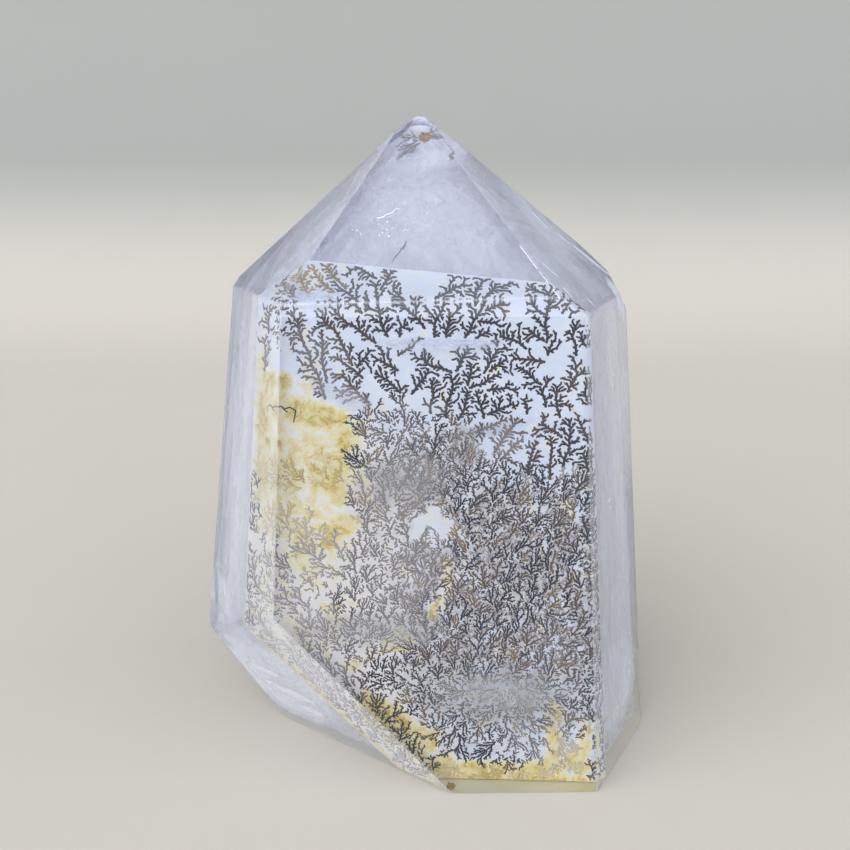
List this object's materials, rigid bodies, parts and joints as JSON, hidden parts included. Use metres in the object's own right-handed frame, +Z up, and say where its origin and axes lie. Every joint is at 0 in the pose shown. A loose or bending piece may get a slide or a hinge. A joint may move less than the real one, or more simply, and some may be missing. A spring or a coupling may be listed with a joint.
{
  "type": "dendritic quartz point",
  "caption": "Polished quartz point on a flat cut base, with dark branching dendrites and yellow iron stain sealed on a fracture behind its front face.",
  "frame": {"origin": "middle of the crystal's outline, at the level of its cut base", "axes": "+Z up to the tip, -Y out of the wide front face with the dendrites behind it, +X to its right as seen from the front"},
  "size_m": [0.0498, 0.0314, 0.0673],
  "materials": {
    "clear_quartz": "polished, clear with milky veils",
    "dendrite": "matt dark brown to golden brown mineral growth",
    "milky_veil": "soft bluish white veils and healed fracture inside the quartz"
  },
  "bodies": {
    "root": {"quartz_front": "clear_quartz", "quartz_back": "clear_quartz", "dendrite_film": "dendrite"}
  },
  "joints": []
}
